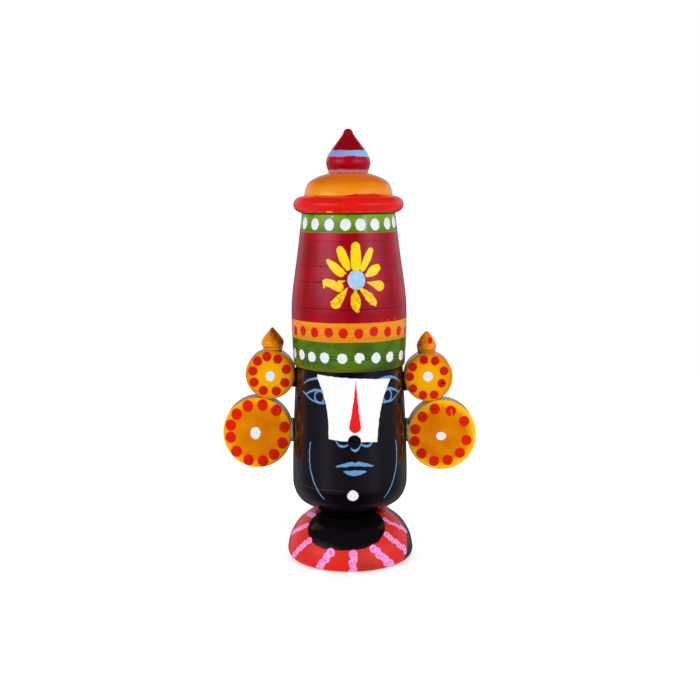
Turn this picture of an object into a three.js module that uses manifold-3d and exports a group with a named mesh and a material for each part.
// A face idol of turned and lacquered wood: a round head under a tall tapered crown, on a domed
// base, with a pair of stacked earring discs pegged to each side.
// Units are millimetres, +Z is up, the face looks along -Y, and left means -X, as seen from the front.
// The origin is at the middle of the base's underside. The painted ornament has no thickness here.

import * as THREE from 'three';
import { mergeVertices } from 'three/addons/utils/BufferGeometryUtils.js';
import Module from 'manifold-3d';

const wasm = await Module();
wasm.setup();

// The gap that is left between pieces that touch.
const GAP = 0.3;

// How finely the round forms are faceted.
const BODY_SIDES = 48;
const DISC_SIDES = 40;
const BUD_SIDES = 20;
const PEG_SIDES = 20;
const BODY_CURVE_STEPS = 9;
const HEAD_CURVE_STEPS = 12;
const RING_CURVE_STEPS = 8;
const DOME_CURVE_STEPS = 5;
const FINIAL_CURVE_STEPS = 7;
const BUD_CURVE_STEPS = 6;
const FOOT_STEPS = 4;
const LIP_STEPS = 3;
const KNOB_STEPS = 2;

// The base: a low dome with a rounded foot.
const BASE_RADIUS = 26.7;
const BASE_HEIGHT = 20.0;
const BASE_FOOT_RADIUS = 22.4;
const BASE_FOOT_HEIGHT = 3.7;
const BASE_FLANK_RADIUS = 25.6;
const BASE_FLANK_HEIGHT = 9.0;
const BASE_SHOULDER_RADIUS = 22.0;
const BASE_SHOULDER_HEIGHT = 15.0;
const BASE_TOP_RADIUS = 15.5;

// The head: a short neck that flares from its foot, a rounded chin and cheeks that taper up to the crown.
const NECK_FOOT_RADIUS = 13.2;
const NECK_TOP_RADIUS = 15.0;
const NECK_TOP_HEIGHT = 21.9;
const THROAT_RADIUS = 18.3;
const THROAT_HEIGHT = 23.6;
const CHIN_RADIUS = 21.5;
const CHIN_HEIGHT = 26.0;
const CHIN_FRONT_RADIUS = 23.5;
const CHIN_FRONT_HEIGHT = 29.7;
const JAW_RADIUS = 24.2;
const JAW_HEIGHT = 35.5;
const CHEEK_RADIUS = 23.7;
const CHEEK_HEIGHT = 56.0;
const BROW_RADIUS = 22.4;
const HEAD_TOP_HEIGHT = 82.15;

// The crown: a tapered drum that overhangs the head with a rounded lip.
const CROWN_FOOT_HEIGHT = HEAD_TOP_HEIGHT + GAP;
const CROWN_TOP_HEIGHT = 145.6;
const CROWN_LIP_RADIUS = 23.35;
const CROWN_LIP_ROUND = 1.5;
const CROWN_LIP_SWELL = 0.1;
const CROWN_RADIUS = 23.95;
const CROWN_WIDEST_HEIGHT = 100.0;
const CROWN_SHOULDER_RADIUS = 23.6;
const CROWN_SHOULDER_HEIGHT = 112.0;
const CROWN_TAPER_RADIUS = 21.1;
const CROWN_TAPER_HEIGHT = 130.6;
const CROWN_TOP_RADIUS = 19.4;

// The cap on the crown: a round ring, a dome and a pointed finial, turned in one.
// The ring's section is part of an oval, between two angles above and below the horizontal.
const CAP_FOOT_HEIGHT = CROWN_TOP_HEIGHT + GAP;
const CAP_FOOT_RADIUS = 19.5;
const RING_MIDDLE_RADIUS = 18.9;
const RING_MIDDLE_HEIGHT = 149.15;
const RING_HALF_WIDTH = 3.82;
const RING_HALF_HEIGHT = 3.35;
const RING_FOOT_ANGLE = -72;
const RING_TOP_ANGLE = 80;
const DOME_FOOT_RADIUS = 18.25;
const DOME_FOOT_HEIGHT = 152.8;
const DOME_FLANK_RADIUS = 16.8;
const DOME_FLANK_HEIGHT = 157.5;
const DOME_SHOULDER_RADIUS = 13.2;
const DOME_SHOULDER_HEIGHT = 160.1;
const DOME_TOP_RADIUS = 8.2;
const DOME_TOP_HEIGHT = 161.8;
const FINIAL_FOOT_RADIUS = 8.0;
const FINIAL_FOOT_HEIGHT = 162.1;
const FINIAL_BELLY_RADIUS = 8.75;
const FINIAL_BELLY_HEIGHT = 164.3;
const FINIAL_RADIUS = 9.1;
const FINIAL_WIDEST_HEIGHT = 166.3;
const FINIAL_SHOULDER_RADIUS = 8.35;
const FINIAL_SHOULDER_HEIGHT = 169.0;
const FINIAL_CONE_FOOT_RADIUS = 6.9;
const FINIAL_CONE_FOOT_HEIGHT = 171.3;
const FINIAL_CONE_TOP_RADIUS = 2.4;
const FINIAL_CONE_TOP_HEIGHT = 177.3;
const FINIAL_KNOB_RADIUS = 1.9;
const FINIAL_KNOB_HEIGHT = 1.8;
const TOTAL_HEIGHT = 180.0;

// The buds: their flanks stay full halfway up, and their feet straddle the rim below.
const BUD_SADDLE_DEPTH = 2.5;
const BUD_FLANK_SHARE = 0.66;
const BUD_TIP_RADIUS = 0.4;

// The earring discs, fitted by hand, so each side has its own sizes and places.
// across and up are half the width and half the height: the wood has shrunk a little across its grain.
const DISC_THICKNESS = 10.0;
const DISC_EDGE_ROUND = 0.9;
const DISC_CROWNING = 0.35;
const DISC_CROWNING_START = 0.78;
const EARRINGS = {
  left: {
    side: -1,
    large: { x: 38.7, z: 54.25, across: 14.3, up: 14.85 },
    small: { x: 33.05, z: 78.85, across: 10.1, up: 10.1 },
    bud: { x: 32.1, topZ: 98.4, radius: 4.6, widestZ: 91.7, footRadius: 3.5 },
    lowerPegZ: 54.6,
    upperPegZ: 77.1,
  },
  right: {
    side: 1,
    large: { x: 38.65, z: 52.9, across: 14.35, up: 14.8 },
    small: { x: 33.0, z: 77.45, across: 9.95, up: 10.15 },
    bud: { x: 32.4, topZ: 96.4, radius: 4.05, widestZ: 89.9, footRadius: 3.55 },
    lowerPegZ: 54.3,
    upperPegZ: 75.2,
  },
};

// The pegs: short dowels let into the head, with an outer end scooped to seat a disc's rim.
const LOWER_PEG_RADIUS = 5.0;
const UPPER_PEG_RADIUS = 4.1;
const PEG_INNER_END = 18.0;
const PEG_HOLE_MOUTH = 36.0;

const COLOURS = {
  black: 0x1b1c22,
  garlandRed: 0xd83022,
  maroon: 0x97122a,
  orange: 0xe88c10,
  gold: 0xe09a0c,
  amber: 0xb4680c,
};

function lacquer(colour) {
  return new THREE.MeshStandardMaterial({ color: colour, roughness: 0.28, metalness: 0 });
}

function named(name, geometry, colour) {
  const mesh = new THREE.Mesh(geometry, lacquer(colour));
  mesh.name = name;
  return mesh;
}

function at(radius, height) {
  return new THREE.Vector2(radius, height);
}

// A smooth stretch of a profile, through a few points.
function curve(points, steps) {
  return new THREE.SplineCurve(points).getPoints(steps);
}

// A quarter round from one point of a profile to another, first along the first one's direction.
function quarterRound(from, to, steps, startsOutwards) {
  const corner = startsOutwards ? at(to.x, from.y) : at(from.x, to.y);
  return new THREE.QuadraticBezierCurve(from, corner, to).getPoints(steps);
}

// A round stretch of a profile: part of an oval round its middle, between two angles from the horizontal.
function ovalArc(middle, halfWidth, halfHeight, from, to, steps) {
  const [start, end] = [from, to].map(THREE.MathUtils.degToRad);
  return new THREE.EllipseCurve(middle.x, middle.y, halfWidth, halfHeight, start, end).getPoints(steps);
}

// A solid of revolution round Z.
function turned(profile, sides) {
  const geometry = new THREE.LatheGeometry(profile, sides);
  geometry.rotateX(Math.PI / 2);
  return geometry;
}

// A closed geometry as a solid that can be joined and cut.
function toSolid(geometry) {
  const bare = geometry.clone();
  bare.deleteAttribute('normal');
  bare.deleteAttribute('uv');
  const merged = mergeVertices(bare, 1e-4);
  const corners = [];
  for (let i = 0; i < merged.index.count; i += 3) {
    const [a, b, c] = [0, 1, 2].map((k) => merged.index.getX(i + k));
    if (a !== b && b !== c && c !== a) {
      corners.push(a, b, c);
    }
  }
  return new wasm.Manifold(new wasm.Mesh({
    numProp: 3,
    vertProperties: Float32Array.from(merged.attributes.position.array),
    triVerts: Uint32Array.from(corners),
  }));
}

function toGeometry(solid) {
  const mesh = solid.getMesh();
  const geometry = new THREE.BufferGeometry();
  geometry.setAttribute('position', new THREE.BufferAttribute(mesh.vertProperties, 3));
  geometry.setIndex(new THREE.BufferAttribute(mesh.triVerts, 1));
  geometry.computeVertexNormals();
  return geometry;
}

// A round bar along X, between two distances from the axis on one side of the head.
function sidewaysBar(radius, side, near, far, height) {
  const bar = new THREE.CylinderGeometry(radius, radius, far - near, PEG_SIDES);
  bar.rotateZ(Math.PI / 2);
  bar.translate(side * (near + far) / 2, 0, height);
  return bar;
}

// The space that a disc takes up, with the gap round its rim, through a given thickness.
function rimSpace(disc, side, thickness) {
  const space = new THREE.CylinderGeometry(1, 1, thickness, DISC_SIDES);
  space.scale(disc.across + GAP, 1, disc.up + GAP);
  space.translate(side * disc.x, 0, disc.z);
  return space;
}

function baseGeometry() {
  return turned([
    at(0, 0),
    ...quarterRound(at(BASE_FOOT_RADIUS, 0), at(BASE_RADIUS, BASE_FOOT_HEIGHT), FOOT_STEPS, true),
    ...curve([
      at(BASE_RADIUS, BASE_FOOT_HEIGHT),
      at(BASE_FLANK_RADIUS, BASE_FLANK_HEIGHT),
      at(BASE_SHOULDER_RADIUS, BASE_SHOULDER_HEIGHT),
      at(BASE_TOP_RADIUS, BASE_HEIGHT),
    ], BODY_CURVE_STEPS).slice(1),
    at(0, BASE_HEIGHT),
  ], BODY_SIDES);
}

// The head, with a blind hole for each peg in its sides.
function headGeometry() {
  let head = toSolid(turned([
    at(0, BASE_HEIGHT + GAP),
    at(NECK_FOOT_RADIUS, BASE_HEIGHT + GAP),
    at(NECK_TOP_RADIUS, NECK_TOP_HEIGHT),
    ...curve([
      at(THROAT_RADIUS, THROAT_HEIGHT),
      at(CHIN_RADIUS, CHIN_HEIGHT),
      at(CHIN_FRONT_RADIUS, CHIN_FRONT_HEIGHT),
      at(JAW_RADIUS, JAW_HEIGHT),
      at(CHEEK_RADIUS, CHEEK_HEIGHT),
      at(BROW_RADIUS, HEAD_TOP_HEIGHT),
    ], HEAD_CURVE_STEPS),
    at(0, HEAD_TOP_HEIGHT),
  ], BODY_SIDES));
  for (const ear of Object.values(EARRINGS)) {
    for (const [radius, height] of [[LOWER_PEG_RADIUS, ear.lowerPegZ], [UPPER_PEG_RADIUS, ear.upperPegZ]]) {
      const hole = sidewaysBar(radius + GAP, ear.side, PEG_INNER_END - GAP, PEG_HOLE_MOUTH, height);
      head = head.subtract(toSolid(hole));
    }
  }
  return toGeometry(head);
}

function crownGeometry() {
  const lipInner = at(CROWN_LIP_RADIUS - CROWN_LIP_ROUND, CROWN_FOOT_HEIGHT);
  const lipOuter = at(CROWN_LIP_RADIUS, CROWN_FOOT_HEIGHT + CROWN_LIP_ROUND);
  return turned([
    at(0, CROWN_FOOT_HEIGHT),
    ...quarterRound(lipInner, lipOuter, LIP_STEPS, true),
    ...curve([
      at(CROWN_LIP_RADIUS + CROWN_LIP_SWELL, CROWN_FOOT_HEIGHT + 2 * CROWN_LIP_ROUND),
      at(CROWN_RADIUS, CROWN_WIDEST_HEIGHT),
      at(CROWN_SHOULDER_RADIUS, CROWN_SHOULDER_HEIGHT),
      at(CROWN_TAPER_RADIUS, CROWN_TAPER_HEIGHT),
      at(CROWN_TOP_RADIUS, CROWN_TOP_HEIGHT),
    ], BODY_CURVE_STEPS),
    at(0, CROWN_TOP_HEIGHT),
  ], BODY_SIDES);
}

function capGeometry() {
  const ring = ovalArc(
    at(RING_MIDDLE_RADIUS, RING_MIDDLE_HEIGHT),
    RING_HALF_WIDTH,
    RING_HALF_HEIGHT,
    RING_FOOT_ANGLE,
    RING_TOP_ANGLE,
    RING_CURVE_STEPS,
  );
  const dome = curve([
    at(DOME_FOOT_RADIUS, DOME_FOOT_HEIGHT),
    at(DOME_FLANK_RADIUS, DOME_FLANK_HEIGHT),
    at(DOME_SHOULDER_RADIUS, DOME_SHOULDER_HEIGHT),
    at(DOME_TOP_RADIUS, DOME_TOP_HEIGHT),
  ], DOME_CURVE_STEPS);
  const finial = curve([
    at(FINIAL_FOOT_RADIUS, FINIAL_FOOT_HEIGHT),
    at(FINIAL_BELLY_RADIUS, FINIAL_BELLY_HEIGHT),
    at(FINIAL_RADIUS, FINIAL_WIDEST_HEIGHT),
    at(FINIAL_SHOULDER_RADIUS, FINIAL_SHOULDER_HEIGHT),
    at(FINIAL_CONE_FOOT_RADIUS, FINIAL_CONE_FOOT_HEIGHT),
    at(FINIAL_CONE_TOP_RADIUS, FINIAL_CONE_TOP_HEIGHT),
  ], FINIAL_CURVE_STEPS);
  return turned([
    at(0, CAP_FOOT_HEIGHT),
    at(CAP_FOOT_RADIUS, CAP_FOOT_HEIGHT),
    ...ring,
    ...dome,
    ...finial,
    ...quarterRound(
      at(FINIAL_KNOB_RADIUS, TOTAL_HEIGHT - FINIAL_KNOB_HEIGHT),
      at(0, TOTAL_HEIGHT),
      KNOB_STEPS,
      false,
    ),
  ], BODY_SIDES);
}

// A disc with a gently crowned front and softened edges, standing upright with its face to the front.
function discGeometry(disc, side) {
  const half = DISC_THICKNESS / 2;
  const flat = 1 - DISC_EDGE_ROUND / disc.across;
  const geometry = new THREE.LatheGeometry([
    at(0, -half),
    at(flat * DISC_CROWNING_START, -half + DISC_CROWNING / 3),
    at(flat, -half + DISC_CROWNING),
    at(1, -half + DISC_CROWNING + DISC_EDGE_ROUND),
    at(1, half - DISC_EDGE_ROUND),
    at(flat, half),
    at(0, half),
  ], DISC_SIDES);
  geometry.scale(disc.across, 1, disc.up);
  geometry.translate(side * disc.x, 0, disc.z);
  return geometry;
}

// A pointed bud whose foot is hollowed to sit on the small disc's rim.
function budGeometry(bud, disc, side) {
  const rimHeight = disc.z + disc.up;
  const blank = turned([
    at(0, rimHeight - BUD_SADDLE_DEPTH),
    at(bud.footRadius, rimHeight - BUD_SADDLE_DEPTH),
    ...curve([
      at(bud.footRadius, rimHeight),
      at(bud.radius, bud.widestZ),
      at(bud.radius * BUD_FLANK_SHARE, (bud.widestZ + bud.topZ) / 2),
      at(BUD_TIP_RADIUS, bud.topZ - BUD_TIP_RADIUS),
    ], BUD_CURVE_STEPS),
    at(0, bud.topZ),
  ], BUD_SIDES);
  blank.translate(side * bud.x, 0, 0);
  const seat = rimSpace(disc, side, 2 * DISC_THICKNESS);
  return toGeometry(toSolid(blank).subtract(toSolid(seat)));
}

// A dowel from its hole in the head out to the rim of a disc.
function pegGeometry(radius, height, disc, side) {
  const blank = sidewaysBar(radius, side, PEG_INNER_END, disc.x - disc.across / 2, height);
  const seat = rimSpace(disc, side, 2 * DISC_THICKNESS);
  return toGeometry(toSolid(blank).subtract(toSolid(seat)));
}

const group = new THREE.Group();
group.add(named('base', baseGeometry(), COLOURS.garlandRed));
group.add(named('head', headGeometry(), COLOURS.black));
group.add(named('crown', crownGeometry(), COLOURS.maroon));
group.add(named('crown_cap', capGeometry(), COLOURS.orange));
for (const [hand, ear] of Object.entries(EARRINGS)) {
  const { side, large, small, bud } = ear;
  group.add(named(`earring_disc_large_${hand}`, discGeometry(large, side), COLOURS.gold));
  group.add(named(`earring_disc_small_${hand}`, discGeometry(small, side), COLOURS.gold));
  group.add(named(`earring_bud_${hand}`, budGeometry(bud, small, side), COLOURS.amber));
  const lowerPeg = pegGeometry(LOWER_PEG_RADIUS, ear.lowerPegZ, large, side);
  group.add(named(`peg_lower_${hand}`, lowerPeg, COLOURS.black));
  const upperPeg = pegGeometry(UPPER_PEG_RADIUS, ear.upperPegZ, small, side);
  group.add(named(`peg_upper_${hand}`, upperPeg, COLOURS.black));
}

export default group;
